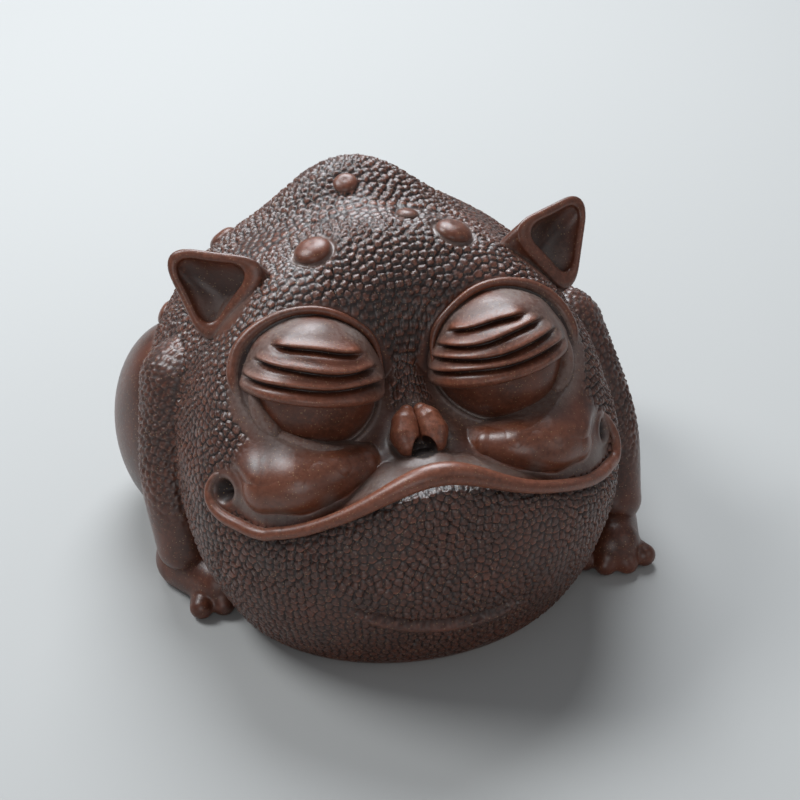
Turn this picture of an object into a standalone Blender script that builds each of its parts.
# A clay tea pet: a squat toad with closed eyes, a wide smile and cup ears.
# It faces -Y and stands on Z = 0, with its origin under the middle of the belly.
# Left and right are the viewer's, looking at its face: left is -X.
# A piece's skin is where its form, a distance-like function, is zero. Every such form
# is shaped once, on the right side, and mirrored for the left. Places on the animal are
# given as a turn from -Y towards +X and a rise above level, seen from a heart inside it.

import math

import bmesh
import bpy
import numpy as np
from mathutils import Matrix, Vector

MM = 0.001

# Clay and fitting
WALL = 4.5 * MM
SEAM = 0.3 * MM             # gap left between pieces that are luted together
FLOOR_HALF = 90 * MM        # half the side of the block that trims every underside

# Head: a deep bowl of a jaw, and a skull cut back by a sloping face
HEAD_HEART = (0, -12 * MM, 24 * MM)
HEAD_HALF = 38.3 * MM       # half the width of the head
JAW_Y = -17 * MM
JAW_DEPTH = 29.5 * MM       # how far the jaw reaches in front of JAW_Y
JAW_BACK = 40 * MM
JAW_WIDE_Z = 24 * MM        # height at which the jaw is widest
JAW_DROP = 38 * MM          # its half-height below that, before the floor cuts it
JAW_RISE = 55 * MM          # and above it, before the mouth cuts it
JAW_EDGE = 4 * MM
JAW_BRIM = 2 * MM           # the jaw's upper edge is this wide, then falls away to the face
JAW_FALL = 0.3
SKULL_HEART = (0, -10 * MM, 28 * MM)
SKULL_LENGTH = 37 * MM
SKULL_RISE = 39.5 * MM
FACE_SLOPE = math.radians(46.7)
FACE_AHEAD = 24.7 * MM      # from the skull's heart to the face's plane
FACE_ROUND = 7 * MM
FACE_BLEND = 3 * MM
BRIDGE_DEEP = 3 * MM        # hollow down the middle of the face, between the eyes
BRIDGE_RADIUS = 15 * MM
BRIDGE_ENDS = (9 * MM, -13 * MM)        # up and down the face's slope from its middle
BRIDGE_BLEND = 4 * MM
CREASE_X = -1 * MM          # middle of the fold under the chin
CREASE_HALF = 17 * MM
CREASE_Z = 13.2 * MM        # its lowest point
CREASE_LOW_X = 4 * MM
CREASE_BEND = 84 * MM       # it rises from there as the square of the distance over this
CREASE_DEEP = 0.9 * MM
CREASE_WIDE = 1.4 * MM

# Mouth: the lip climbs to a peak in the middle and curls up at both corners
LIP_LOW_Z = 29.8 * MM
LIP_PEAK = 14.5 * MM
LIP_PEAK_TURN = -2.5        # degrees
LIP_SPREAD = 25             # degrees
LIP_SIDE = 3.4 * MM         # a lesser rise on the right
LIP_SIDE_TURN = 31          # degrees
LIP_SIDE_SPREAD = 19        # degrees
LIP_CURL = 5.7 * MM
LIP_CURL_FROM = 62          # degrees
LIP_CURL_OVER = 20          # degrees
LIP_END = 76                # degrees
LIP_PROUD = 0.8 * MM        # how far the lip stands out of the jaw
LIP_DEEP = 2.1 * MM         # its half-sizes at the peak
LIP_TALL = 1.9 * MM
LIP_THIN = 0.68             # and the share of them that is left at its sides
LIP_STEPS = 38
MOUTH_LIFT = 1.0 * MM       # the seam between face and jaw runs this far above the lip's middle
PIT = (64.1, 17, 0.4 * MM, 1.9 * MM)        # mouth's corner: turn, rise, sink, radius

# Body
BODY_HEART = (0, 11 * MM, 24 * MM)
BODY_RADII = (40.5 * MM, 35 * MM, 38.5 * MM)
HUMP_HEART = (0, 19 * MM, 54 * MM)
HUMP_RADII = (11.5 * MM, 11 * MM, 13 * MM)
HUMP_BLEND = 9 * MM
NAPE_BLEND = 6 * MM
NECK_Y = 8 * MM             # where the head's shells meet the body shell

# Eyes
EYE = (70.8, 51.7, 9 * MM)  # turn, rise and sink of the ball's heart
EYE_RADIUS = 11.2 * MM
SOCKET_SHIFT = (0, -3.7 * MM, 4 * MM)       # from the ball's heart to the socket's
SOCKET_RADII = (13.1 * MM, 10 * MM, 12.9 * MM)
LID_THICK = 1.4 * MM
LID_TILT = math.radians(18)
LID_ROLL = math.radians(10)
LID_EDGE = -0.3 * MM        # height of the lid's edge on the ball
LID_FOLDS = {-1: (2.4 * MM, 5.1 * MM, 8.1 * MM), 1: (2.2 * MM, 4.4 * MM, 6.6 * MM, 8.8 * MM)}
LID_CROWN = [10.6 * MM, 11.8 * MM]
FOLD_DEEP = 0.7 * MM
FOLD_WIDE = 0.55 * MM
LID_SEGMENTS = 24
EYE_CORNER_SHIFT = (1.35 * MM, -0.9 * MM, -1.3 * MM)
EYE_CORNER_RADIUS = 11.5 * MM

# Nose and cheeks
# A nostril's three balls and a cheek's four: turn, rise, sink and radius
NOSTRIL = ((7.6, 55.4, -0.1 * MM, 2.0 * MM), (9.3, 48, -0.6 * MM, 2.1 * MM), (8, 40.5, -0.8 * MM, 2.2 * MM))
NOSE_SHIFT = -0.6 * MM      # the nose stands this far to the right of the middle
CHEEK = ((30.5, 33, 2.0 * MM, 3.2 * MM), (38, 28.3, 1.2 * MM, 4.3 * MM),
         (46, 24, 1.1 * MM, 4.9 * MM), (53.5, 20.5, 1.5 * MM, 4.5 * MM))

# Ears: cups with a rounded, three-cornered rim, leaning back into the head
EAR = (108, 47.2, -4.8 * MM)        # turn, rise and sink of the middle of its rim
EAR_ROOT = (117, 46, 7 * MM)        # and of the end of its root
EAR_FACES = (28.3, 24.6)            # turn and rise of the way it opens
EAR_SIDES = (90, 210, 328)          # directions of the rim's three sides, degrees
EAR_HALF = 6.2 * MM                 # from the rim's middle to each side
EAR_ROUND = 2.3                     # how sharp the rim's corners are
EAR_RIM = 2.8 * MM
EAR_HOLLOW = 0.22                   # depth of its hollow, as a share of the way to the root
EAR_INSET = (0.7 * MM, 0.3 * MM)    # from the rim's middle to the hollow's, outwards and up
EAR_SHIFT = {-1: -0.8 * MM, 1: 1.3 * MM}    # how much further out each one stands
EAR_SEGMENTS = 20

# Warts: turn, rise and radius. The paired ones are mirrored, the others stand alone
BROW_WART = (124, 69.3, 3.3 * MM)
BACK_WARTS = ((128, 42, 2.8 * MM), (155, 26, 3.0 * MM), (112, 20, 2.4 * MM))
CROWN_WART = (158, 68.3, 2.0 * MM)
HUMP_WART = (-140, 84.9, 2.2 * MM)
WART_HIGH = 0.5             # height as a share of the radius

# Limbs, each ball as turn, rise, sink and radius, seen from the body's heart
HAUNCH = (100.6, -10.4, 7.1 * MM)
HAUNCH_RADII = (14 * MM, 18 * MM, 20 * MM)
HIND_FOOT = (90, -30, 2.5 * MM)
FORELEG = ((78.4, 18.5, 4 * MM, 8.6 * MM), (70, -2.8, 0.5 * MM, 6 * MM), (63.6, -19.4, -3 * MM, 4.8 * MM))
FOREFOOT = (66, -24, -3.0 * MM)
LEG_SHARES = (0.2, 0.7, 1)              # how far each ball follows the foot's shift
LEG_SHIFT = {-1: (0.5 * MM, 0, 0), 1: (3 * MM, -7 * MM, 0)}     # the right foot stands further forward
PALM_RADIUS = 6 * MM
PALM_END = 5 * MM
PALM_LIFT = 3.8 * MM
HEEL_REACH = 9 * MM         # from the heel to the roots of the toes
TOE_COUNT = 4
TOE_RADIUS = 2.1 * MM
TOE_LIFT = 2.0 * MM
TOE_LONG = 4 * MM
TOE_FAN = 27                # degrees from one toe to the next
TOE_BLEND = 1 * MM
FOREFOOT_TURN = {-1: -26, 1: -8}
HIND_FOOT_TURN = 8

# Base
PLATE_THICK = 4 * MM
FOOT_RING = 7.5 * MM        # clay left standing round the plate
VENT_RADIUS = 4 * MM
VENT_Y = 16 * MM
ROUND_SIDES = 48
ROLL_SIDES = 11             # round a rolled piece
ROLL_STEPS = 4              # from one of its balls to the next
HEAD_LEVELS = 5             # fineness of the head's cage
HEAD_KEPT = 0.36            # and the share of it that is kept
BODY_LEVELS = 4
BODY_KEPT = 0.8
FOOT_LEVELS = 5
FOOT_KEPT = 0.09

RED_CLAY = (0.105, 0.042, 0.028)
RUBBED_CLAY = (0.14, 0.05, 0.032)


def ball(p, heart, radii):
    q = p - np.asarray(heart)
    radii = np.asarray(radii)
    near = np.linalg.norm(q / radii, axis=-1)
    return near * (near - 1) / (np.linalg.norm(q / radii ** 2, axis=-1) + 1e-9)


def limb(p, start, end, start_radius, end_radius):
    run = end - start
    share = np.clip((p - start) @ run / (run @ run), 0, 1)
    away = np.linalg.norm(p - start - share[..., None] * run, axis=-1)
    return away - start_radius - (end_radius - start_radius) * share


def blend(a, b, width):
    share = np.clip(0.5 + 0.5 * (b - a) / width, 0, 1)
    return b + (a - b) * share - width * share * (1 - share)


def trim(a, b, width):
    return -blend(-a, -b, width)


def ease(share):
    share = np.clip(share, 0, 1)
    return share * share * (3 - 2 * share)


def line(turn, rise):
    turn, rise = math.radians(turn), math.radians(rise)
    return np.array([math.sin(turn) * math.cos(rise), -math.cos(turn) * math.cos(rise), math.sin(rise)])


def bump(distance, width):
    return np.exp(-(distance / width) ** 2)


def lip_height(turn):
    peak = LIP_PEAK * bump(turn - LIP_PEAK_TURN, LIP_SPREAD)
    side = LIP_SIDE * bump(turn - LIP_SIDE_TURN, LIP_SIDE_SPREAD)
    curl = ease((np.abs(turn) - LIP_CURL_FROM) / LIP_CURL_OVER)
    return LIP_LOW_Z + peak + side + LIP_CURL * curl


def jaw_turn(p):
    return np.degrees(np.arctan2(p[..., 0] / HEAD_HALF, (JAW_Y - p[..., 1]) / JAW_DEPTH))


def bare_form(p):
    # Head and body before anything is pressed into them
    q = p.copy()
    behind = p[..., 1] > JAW_Y
    q[..., 1] = np.where(behind, JAW_Y + (p[..., 1] - JAW_Y) * JAW_DEPTH / JAW_BACK, p[..., 1])
    jaw_heart = (0, JAW_Y, JAW_WIDE_Z)
    under = ball(q, jaw_heart, (HEAD_HALF, JAW_DEPTH, JAW_DROP))
    over = ball(q, jaw_heart, (HEAD_HALF, JAW_DEPTH, JAW_RISE))
    jaw = np.where(p[..., 2] < JAW_WIDE_Z, under, over)
    brim = p[..., 2] - lip_height(jaw_turn(p)) + JAW_FALL * np.maximum(-jaw - JAW_BRIM, 0)
    jaw = trim(jaw, 0.7 * brim, JAW_EDGE)
    face_out = np.array([0, -math.sin(FACE_SLOPE), math.cos(FACE_SLOPE)])
    face = (p - np.array(SKULL_HEART)) @ face_out - FACE_AHEAD
    skull = trim(ball(p, SKULL_HEART, (HEAD_HALF, SKULL_LENGTH, SKULL_RISE)), face, FACE_ROUND)
    down = np.array([0, -math.cos(FACE_SLOPE), -math.sin(FACE_SLOPE)])
    above = np.array(SKULL_HEART) + (FACE_AHEAD + BRIDGE_RADIUS - BRIDGE_DEEP) * face_out
    bridge = limb(p, above - BRIDGE_ENDS[0] * down, above - BRIDGE_ENDS[1] * down, BRIDGE_RADIUS, BRIDGE_RADIUS)
    skull = trim(skull, -bridge, BRIDGE_BLEND)
    head = blend(jaw, skull, FACE_BLEND)
    body = blend(ball(p, BODY_HEART, BODY_RADII), ball(p, HUMP_HEART, HUMP_RADII), HUMP_BLEND)
    return blend(head, body, NAPE_BLEND)


def reach(form, heart, rays, grow=0.0):
    # Distance from the heart to the skin along each ray: long steps out, then the last one halved
    step = 0.75 * MM
    low = np.zeros(len(rays))
    high = np.zeros(len(rays))
    live = np.arange(len(rays))
    while len(live):
        high[live] += step
        out = form(heart + rays[live] * high[live, None]) > grow
        low[live[~out]] = high[live[~out]]
        live = live[~out]
    for _ in range(16):
        middle = (low + high) / 2
        out = form(heart + rays * middle[:, None]) > grow
        high = np.where(out, middle, high)
        low = np.where(out, low, middle)
    return high


def place(heart, turn, rise, sink):
    ray = line(turn, rise)
    return np.asarray(heart) + ray * (reach(bare_form, np.asarray(heart), ray[None])[0] - sink)


EYE_HEART = place(HEAD_HEART, *EYE)
PIT_HEART = place(HEAD_HEART, *PIT[:3])


def skin_form(p):
    # The outer skin, with the fold under the chin
    fade = ease(2 - 2 * np.abs(p[..., 0] - CREASE_X) / CREASE_HALF) * (p[..., 1] < JAW_Y)
    low = CREASE_Z + (p[..., 0] - CREASE_LOW_X) ** 2 / CREASE_BEND
    return bare_form(p) + CREASE_DEEP * fade * bump(p[..., 2] - low, CREASE_WIDE)


def mesh_object(name, shape):
    mesh = bpy.data.meshes.new(name)
    shape.to_mesh(mesh)
    shape.free()
    piece = bpy.data.objects.new(name, mesh)
    bpy.context.scene.collection.objects.link(piece)
    return piece


def star(name, form, heart, cage, grow=0.0):
    # A closed skin round a heart, from a cage of triangles round the middle of its own space
    heart = np.asarray(heart)
    shape = bmesh.new()
    if isinstance(cage, int):
        bmesh.ops.create_icosphere(shape, subdivisions=cage, radius=1)
    else:
        shape.from_mesh(cage)
    rays = np.array([v.co.normalized() for v in shape.verts])
    spots = heart + rays * reach(form, heart, rays, grow)[:, None]
    for vertex, spot in zip(shape.verts, spots):
        vertex.co = spot
    return mesh_object(name, shape)


def thin_cage(form, heart, fineness, share):
    # A cage with its triangles kept small only where the form bends
    shell = star('cage', form, heart, fineness)
    shell.data.transform(Matrix.Translation(-Vector(heart)))
    decimate = shell.modifiers.new('Thin', 'DECIMATE')
    decimate.ratio = share
    view = bpy.context.evaluated_depsgraph_get()
    cage = bpy.data.meshes.new_from_object(shell.evaluated_get(view))
    bpy.data.objects.remove(shell)
    return cage


def loft(name, rings, start, end):
    # Rings of as many points each, joined in turn and closed to a point at both ends
    shape = bmesh.new()
    rows = [[shape.verts.new(spot) for spot in ring] for ring in rings]
    count = len(rows[0])
    first, last = shape.verts.new(start), shape.verts.new(end)
    for k in range(count):
        n = (k + 1) % count
        shape.faces.new((first, rows[0][n], rows[0][k]))
        shape.faces.new((last, rows[-1][k], rows[-1][n]))
        for a, b in zip(rows, rows[1:]):
            shape.faces.new((a[k], a[n], b[n], b[k]))
    bmesh.ops.recalc_face_normals(shape, faces=shape.faces)
    return mesh_object(name, shape)


def roll(name, balls, side=1, grow=0.0):
    # A smooth roll of clay through a row of balls, each a spot and a radius, with round ends
    keys = np.array([(*spot, radius) for spot, radius in balls])
    keys = np.vstack((2 * keys[0] - keys[1], keys, 2 * keys[-1] - keys[-2]))
    path = []
    for a, b, c, d in zip(keys, keys[1:], keys[2:], keys[3:]):
        for t in np.linspace(0, 1, ROLL_STEPS, endpoint=False):
            path.append(b + t / 2 * (c - a + t * (2 * a - 5 * b + 4 * c - d + t * (3 * (b - c) + d - a))))
    path.append(keys[-2])
    path = np.array(path)
    along = np.gradient(path[:, :3], axis=0)
    along /= np.linalg.norm(along, axis=1)[:, None]
    rows = [(path[0, :3], along[0], path[0, 3], -math.cos(a), math.sin(a)) for a in (0.45, 0.95)]
    rows += [(spot[:3], way, spot[3], 0, 1) for spot, way in zip(path, along)]
    rows += [(path[-1, :3], along[-1], path[-1, 3], math.cos(a), math.sin(a)) for a in (0.95, 0.45)]
    across = np.cross(along[0], (0.2, 0.1, 1))
    rings = []
    for spot, way, radius, ahead, wide in rows:
        across = across - (across @ way) * way
        across /= np.linalg.norm(across)
        over = np.cross(way, across)
        radius += grow
        rings.append(mirrored([spot + radius * (ahead * way + wide * (math.cos(a) * across + math.sin(a) * over))
                               for a in np.linspace(0, math.tau, ROLL_SIDES, endpoint=False)], side))
    ends = mirrored([path[0, :3] - (path[0, 3] + grow) * along[0],
                     path[-1, :3] + (path[-1, 3] + grow) * along[-1]], side)
    return loft(name, rings, *ends)


def block(name, low, high):
    shape = bmesh.new()
    bmesh.ops.create_cube(shape, size=1)
    low, high = np.array(low), np.array(high)
    for vertex in shape.verts:
        vertex.co = (low + high) / 2 + np.array(vertex.co) * (high - low)
    return mesh_object(name, shape)


def combine(piece, tool, operation='DIFFERENCE'):
    boolean = piece.modifiers.new('Cut', 'BOOLEAN')
    boolean.solver = 'EXACT'
    boolean.operation = operation
    boolean.object = tool
    view = bpy.context.evaluated_depsgraph_get()
    cut = bpy.data.meshes.new_from_object(piece.evaluated_get(view))
    piece.modifiers.clear()
    old = piece.data
    piece.data = cut
    bpy.data.meshes.remove(old)
    cut.name = piece.name


def keep_largest(piece):
    # A cut can leave crumbs of clay beside the piece itself
    shape = bmesh.new()
    shape.from_mesh(piece.data)
    left = set(shape.verts)
    lumps = []
    while left:
        lump = {left.pop()}
        edge = list(lump)
        while edge:
            near = {e.other_vert(v) for v in edge for e in v.link_edges} & left
            left -= near
            lump |= near
            edge = list(near)
        lumps.append(lump)
    lumps.sort(key=len)
    bmesh.ops.delete(shape, geom=[v for lump in lumps[:-1] for v in lump], context='VERTS')
    shape.to_mesh(piece.data)
    shape.free()


def finish(piece, colour):
    keep_largest(piece)
    clay = bpy.data.materials.new(piece.name)
    clay.use_nodes = True
    surface = clay.node_tree.nodes['Principled BSDF']
    surface.inputs['Base Color'].default_value = (*colour, 1)
    surface.inputs['Roughness'].default_value = 0.45
    piece.data.materials.clear()
    piece.data.materials.append(clay)
    piece.data.shade_smooth()
    piece.data.set_sharp_from_angle(angle=math.radians(40))


def cut_from(piece, *tools):
    for tool in tools:
        combine(piece, tool)


def sided(name, form, heart, side, cage, grow=0.0):
    piece = star(name, form, heart, cage, grow)
    if side < 0:
        piece.data.transform(Matrix.Scale(-1, 4, (1, 0, 0)))
        piece.data.flip_normals()
    return piece


def mirrored(spots, side):
    return [np.asarray(spot) * (side, 1, 1) for spot in spots]


def mouth_cone(name, lift):
    # What lies below the mouth: a cone from the head's heart through the seam above the lip
    heart = np.array(HEAD_HEART) + (0, 0, lift)
    rim = []
    for turn in np.linspace(-180, 180, 2 * LIP_STEPS, endpoint=False):
        t = math.radians(turn)
        seam = np.array([HEAD_HALF * math.sin(t), JAW_Y - JAW_DEPTH * math.cos(t),
                         lip_height(turn) + MOUTH_LIFT + lift])
        rim.append(heart + 2.2 * (seam - heart))
    foot = [np.array([x, y, -FLOOR_HALF]) for x, y, _ in rim]
    return loft(name, [rim, foot], heart, (0, JAW_Y, -FLOOR_HALF))


def disc(name, y, half_x, half_y, low, high):
    turns = np.linspace(0, math.tau, ROUND_SIDES, endpoint=False)
    rings = [[(half_x * math.cos(t), y + half_y * math.sin(t), z) for t in turns] for z in (low, high)]
    return loft(name, rings, (0, y, low), (0, y, high))


def floor_share(heart, radii):
    # How much of a ball's width is left where it meets the floor
    return math.sqrt(1 - (heart[2] / radii[2]) ** 2)


def plate_sizes(spare):
    side = BODY_RADII[0] * floor_share(BODY_HEART, BODY_RADII) - FOOT_RING
    rear = BODY_HEART[1] + BODY_RADII[1] * floor_share(BODY_HEART, BODY_RADII) - FOOT_RING
    front = JAW_Y - JAW_DEPTH * math.sqrt(1 - (JAW_WIDE_Z / JAW_DROP) ** 2) + FOOT_RING
    return (rear + front) / 2, side + spare, (rear - front) / 2 + spare


def make_base():
    plate = disc('base_plate', *plate_sizes(0), 0, PLATE_THICK)
    vent = disc('vent', VENT_Y, VENT_RADIUS, VENT_RADIUS, -PLATE_THICK, 2 * PLATE_THICK)
    combine(plate, vent)
    bpy.data.objects.remove(vent)
    finish(plate, RED_CLAY)


def pressed(shell, grow):
    # The eye sockets and the corners of the mouth, pressed into a head
    for side in (-1, 1):
        for spot, radii in ((EYE_HEART + SOCKET_SHIFT, SOCKET_RADII), (PIT_HEART, (PIT[3],) * 3)):
            press = sided('press', lambda p: ball(p, spot, radii), spot, side, 3, grow)
            combine(shell, press)
            bpy.data.objects.remove(press)


def make_shells(ground, head_cage, body_cage):
    recess = disc('recess', *plate_sizes(SEAM), -PLATE_THICK, PLATE_THICK + 2 * SEAM)
    cellar = block('cellar', (-FLOOR_HALF, -FLOOR_HALF, -FLOOR_HALF),
                   (FLOOR_HALF, FLOOR_HALF, PLATE_THICK + SEAM))
    rear = block('rear', (-FLOOR_HALF, NECK_Y - SEAM / 2, -FLOOR_HALF), (FLOOR_HALF,) * 3)
    front = block('front', (-FLOOR_HALF,) * 3, (FLOOR_HALF, NECK_Y + SEAM / 2, FLOOR_HALF))
    under = mouth_cone('under', -0.7 * SEAM)
    over = mouth_cone('over', 0.7 * SEAM)
    shells = []
    for name, heart, cage, beyond in (('body_shell', BODY_HEART, body_cage, front),
                                      ('face_shell', HEAD_HEART, head_cage, rear)):
        shell = star(name, skin_form, heart, cage)
        hollow = star('hollow', skin_form, heart, 3, -WALL)
        combine(hollow, cellar)
        if cage is head_cage:
            pressed(shell, 0)
            pressed(hollow, WALL)
        cut_from(shell, hollow, ground, recess, beyond)
        bpy.data.objects.remove(hollow)
        shells.append(shell)
    jaw = shells[1].copy()
    jaw.data = shells[1].data.copy()
    jaw.name = 'jaw_shell'
    bpy.context.scene.collection.objects.link(jaw)
    combine(shells[1], over)
    combine(jaw, under, 'INTERSECT')
    for shell in (*shells, jaw):
        finish(shell, RED_CLAY)
    for tool in (recess, cellar, rear, front, under, over):
        bpy.data.objects.remove(tool)


def lip_share(turn):
    return LIP_THIN + (1 - LIP_THIN) * bump(turn - LIP_PEAK_TURN, LIP_SPREAD)


def lip_point(turn):
    t = math.radians(turn)
    sink = LIP_DEEP * lip_share(turn) - LIP_PROUD
    return np.array([(HEAD_HALF - sink) * math.sin(t), JAW_Y - (JAW_DEPTH - sink) * math.cos(t), lip_height(turn)])


def lip_loft(name, grow):
    rings = []
    for turn in np.linspace(-LIP_END, LIP_END, LIP_STEPS):
        middle = lip_point(turn)
        along = lip_point(turn + 0.5) - lip_point(turn - 0.5)
        along /= np.linalg.norm(along)
        out = np.array([along[1], -along[0], 0]) / math.hypot(along[0], along[1])
        up = np.cross(out, along)
        taper = lip_share(turn) * math.sqrt(ease((LIP_END - abs(turn)) / 14) * 0.9 + 0.1)
        deep, tall = taper * LIP_DEEP + grow, taper * LIP_TALL + grow
        rings.append([middle + deep * math.cos(a) * out + tall * math.sin(a) * up
                      for a in np.linspace(0, math.tau, ROLL_SIDES, endpoint=False)])
    return loft(name, rings, lip_point(-LIP_END - 1), lip_point(LIP_END + 1))


def make_lip(head):
    lip = lip_loft('lip_roll', 0)
    combine(lip, head)
    finish(lip, RUBBED_CLAY)


def lid_axes():
    up = np.array([-math.sin(LID_ROLL), math.sin(LID_TILT), math.cos(LID_TILT)])
    up /= np.linalg.norm(up)
    out = np.array([up[2], 0, -up[0]]) / math.hypot(up[0], up[2])
    return up, out, np.cross(up, out)


def lid_radius(height, folds):
    radius = EYE_RADIUS + LID_THICK
    for fold in folds:
        radius -= FOLD_DEEP * math.exp(-((height - fold) / FOLD_WIDE) ** 2)
    return radius


def lid_loft(name, side, grow):
    # A ribbed dome over the upper half of the ball; the ball itself is cut from it later
    up, out, ahead = lid_axes()
    folds = LID_FOLDS[side]
    heights = sorted([LID_EDGE] + [fold + step * FOLD_WIDE for fold in folds
                                   for step in (-1.9, -0.9, 0, 0.9, 1.9)] + LID_CROWN)
    rings = []
    for height in heights:
        radius = lid_radius(height, folds)
        wide = math.sqrt(radius ** 2 - height ** 2) + grow
        centre = EYE_HEART + (height + (grow if height > LID_EDGE else -grow)) * up
        rings.append(mirrored([centre + wide * (math.cos(a) * out + math.sin(a) * ahead)
                               for a in np.linspace(0, math.tau, LID_SEGMENTS, endpoint=False)], side))
    top = EYE_RADIUS + LID_THICK + grow
    ends = mirrored([EYE_HEART + (LID_EDGE - grow) * up, EYE_HEART + top * up], side)
    return loft(name, rings, *ends)


def make_eye(side, tag, head):
    def eye_form(p):
        return np.linalg.norm(p - EYE_HEART, axis=-1) - EYE_RADIUS

    corner_heart = EYE_HEART + EYE_CORNER_SHIFT

    def corner_form(p):
        return np.linalg.norm(p - corner_heart, axis=-1) - EYE_CORNER_RADIUS

    eye = sided('eyeball' + tag, eye_form, EYE_HEART, side, 3)
    eye_clear = sided('eye_clear', eye_form, EYE_HEART, side, 3, SEAM)
    lid = lid_loft('eyelid' + tag, side, 0)
    lid_clear = lid_loft('lid_clear', side, SEAM)
    corner = sided('eye_corner' + tag, corner_form, corner_heart, side, 3)
    cut_from(eye, head)
    cut_from(lid, eye_clear, head)
    cut_from(corner, eye_clear, lid_clear, head)
    for piece in (eye, lid, corner):
        finish(piece, RUBBED_CLAY)
    bpy.data.objects.remove(lid_clear)
    return eye_clear, sided('corner_clear', corner_form, corner_heart, side, 3, SEAM)


def roll_balls(heart, row):
    return [(place(heart, turn, rise, sink), radius) for turn, rise, sink, radius in row]


def make_nostril(side, tag, *tools):
    nostril = roll('nostril' + tag, roll_balls(HEAD_HEART, NOSTRIL), side)
    nostril.data.transform(Matrix.Translation((NOSE_SHIFT, 0, 0)))
    low_x, high_x = sorted((NOSE_SHIFT + side * SEAM / 2, -side * FLOOR_HALF))
    other_side = block('other_side', (low_x, -FLOOR_HALF, 0), (high_x, FLOOR_HALF, FLOOR_HALF))
    cut_from(nostril, *tools, other_side)
    bpy.data.objects.remove(other_side)
    finish(nostril, RUBBED_CLAY)


def make_cheek(side, tag, *tools):
    cheek = roll('cheek' + tag, roll_balls(HEAD_HEART, CHEEK), side)
    cut_from(cheek, *tools)
    finish(cheek, RUBBED_CLAY)


def outline(angle):
    # A triangle with rounded corners, as a radius about its middle
    sides = (max(0, math.cos(angle - math.radians(side))) ** EAR_ROUND for side in EAR_SIDES)
    return EAR_HALF * sum(sides) ** (-1 / EAR_ROUND)


def make_ear(side, tag, *tools):
    middle = place(HEAD_HEART, *EAR) + (EAR_SHIFT[side], 0, 0)
    lean = place(HEAD_HEART, *EAR_ROOT) - middle
    faces = line(*EAR_FACES)
    out = np.array([-faces[1], faces[0], 0]) / math.hypot(faces[0], faces[1])
    up = np.cross(faces, out)
    inset = EAR_INSET[0] * out + EAR_INSET[1] * up
    # Each ring as its centre, its scale and how far it is drawn in: the back, the rim, the hollow
    rings = [(middle + math.sin(a) * lean, math.sqrt(math.cos(a)), 0) for a in (1.4, 1.1, 0.8, 0.5, 0.25)]
    rings += [(middle + ahead * EAR_RIM * faces + inward * inset, 1, inward * EAR_RIM)
              for ahead, inward in ((0, 0), (0.3, 0.2), (0.4, 0.5), (0.3, 0.8), (0, 1))]
    rings += [(middle + inset + math.sin(a) * EAR_HOLLOW * lean, math.cos(a), EAR_RIM) for a in (0.35, 0.7, 1.1)]
    spots = []
    for centre, scale, inward in rings:
        spots.append(mirrored([centre + (outline(a) - inward) * scale * (math.cos(a) * out + math.sin(a) * up)
                               for a in np.linspace(0, math.tau, EAR_SEGMENTS, endpoint=False)], side))
    ends = mirrored([middle + 1.05 * lean, middle + inset + EAR_HOLLOW * lean], side)
    ear = loft('ear' + tag, spots, *ends)
    cut_from(ear, *tools)
    finish(ear, RUBBED_CLAY)


def outward(spot):
    step = 0.2 * MM
    slope = np.array([bare_form(spot + step * axis) - bare_form(spot - step * axis) for axis in np.eye(3)])
    return slope / np.linalg.norm(slope)


def make_wart(name, heart, turn, rise, radius, side, *tools):
    seat = place(heart, turn, rise, 0.1 * radius)
    normal = outward(seat)

    def wart_form(p):
        q = p - seat
        along = q @ normal
        across = np.linalg.norm(q - along[..., None] * normal, axis=-1)
        return (np.hypot(across, along / WART_HIGH) - radius) * WART_HIGH

    wart = sided(name, wart_form, seat, side, 2)
    cut_from(wart, *tools)
    finish(wart, RUBBED_CLAY)


def foot_form(heel, turn, count):
    # A palm with a fan of toes
    ahead = line(turn, 0)
    roots = heel + HEEL_REACH * ahead
    toes = []
    for k in range(count):
        way = line(turn + (k - (count - 1) / 2) * TOE_FAN, 0)
        start = heel + HEEL_REACH / 2 * ahead + HEEL_REACH / 2 * way
        start[2] = TOE_LIFT
        toes.append((start, start + TOE_LONG * way))

    def form(p):
        foot = limb(p, heel, roots, PALM_RADIUS, PALM_END)
        for start, end in toes:
            foot = blend(foot, limb(p, start, end, TOE_RADIUS, TOE_RADIUS), TOE_BLEND)
        return foot

    return form, heel + HEEL_REACH / 3 * ahead


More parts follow.
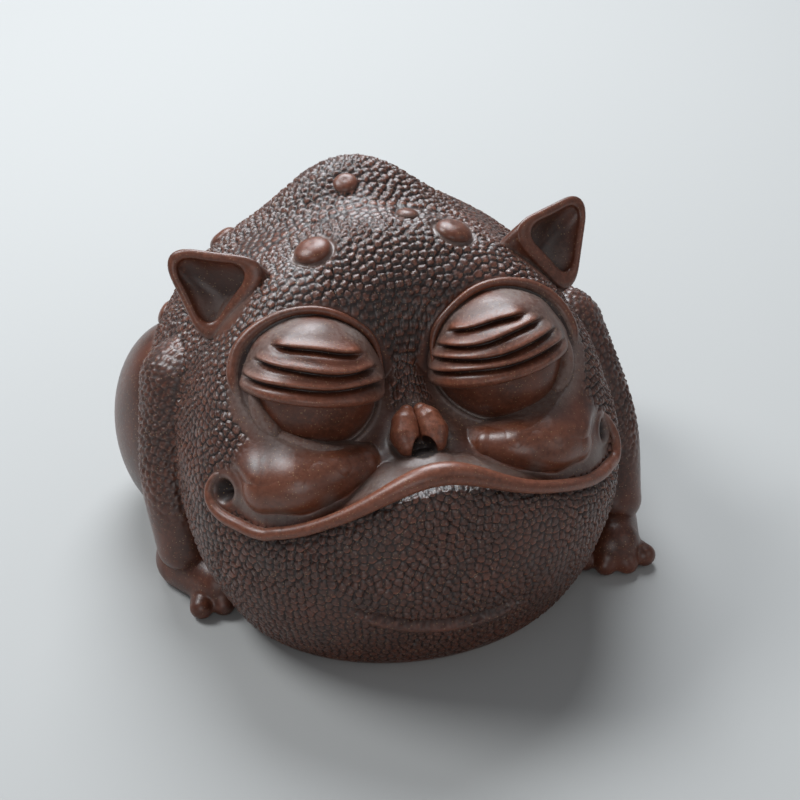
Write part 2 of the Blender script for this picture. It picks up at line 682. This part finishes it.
def make_limbs(side, tag, ground, body):
    haunch_heart = place(BODY_HEART, *HAUNCH)
    shift = np.array(LEG_SHIFT[side])
    leg = [(spot + share * shift, radius)
           for share, (spot, radius) in zip(LEG_SHARES, roll_balls(BODY_HEART, FORELEG))]
    shapes = [('haunch', lambda p: ball(p, haunch_heart, HAUNCH_RADII), haunch_heart, 3)]
    for name, heel, turn, count in (('hind_foot', HIND_FOOT, HIND_FOOT_TURN, TOE_COUNT - 1),
                                    ('forefoot', FOREFOOT, FOREFOOT_TURN[side], TOE_COUNT)):
        heel = place(BODY_HEART, *heel) + (shift if name == 'forefoot' else 0)
        heel[2] = PALM_LIFT
        form, heart = foot_form(heel, turn, count)
        shapes.append((name, form, heart, thin_cage(form, heart, FOOT_LEVELS, FOOT_KEPT)))
    tools = [ground, body]
    foreleg = roll('foreleg' + tag, leg, side)
    cut_from(foreleg, *tools)
    finish(foreleg, RUBBED_CLAY)
    tools.append(roll('clear', leg, side, SEAM))
    for name, form, heart, cage in shapes:
        piece = sided(name + tag, form, heart, side, cage)
        cut_from(piece, *tools)
        finish(piece, RUBBED_CLAY)
        tools.append(sided('clear', form, heart, side, cage, SEAM))
    for tool in tools[2:]:
        bpy.data.objects.remove(tool)


def make_pet():
    ground = block('ground', (-FLOOR_HALF, -FLOOR_HALF, -FLOOR_HALF), (FLOOR_HALF, FLOOR_HALF, 0))
    head_cage = thin_cage(skin_form, HEAD_HEART, HEAD_LEVELS, HEAD_KEPT)
    body_cage = thin_cage(skin_form, BODY_HEART, BODY_LEVELS, BODY_KEPT)
    make_base()
    make_shells(ground, head_cage, body_cage)
    head = star('head_clear', skin_form, HEAD_HEART, head_cage, SEAM)
    pressed(head, -SEAM)
    body = star('body_clear', skin_form, BODY_HEART, body_cage, SEAM)
    lip = lip_loft('lip_clear', SEAM)
    make_lip(head)
    for side, tag in ((-1, '_left'), (1, '_right')):
        eye_tools = make_eye(side, tag, head)
        make_nostril(side, tag, head, lip)
        make_cheek(side, tag, head, lip, *eye_tools)
        for tool in eye_tools:
            bpy.data.objects.remove(tool)
        make_ear(side, tag, head)
        make_wart('brow_wart' + tag, HEAD_HEART, *BROW_WART, side, head)
        for number, wart in enumerate(BACK_WARTS, 1):
            make_wart(f'back_wart_{number}{tag}', BODY_HEART, *wart, side, body)
        make_limbs(side, tag, ground, body)
    make_wart('crown_wart', HEAD_HEART, *CROWN_WART, 1, head)
    make_wart('hump_wart', BODY_HEART, *HUMP_WART, 1, body)
    for tool in (ground, head, body, lip):
        bpy.data.objects.remove(tool)


for old in list(bpy.data.objects):
    bpy.data.objects.remove(old)
make_pet()
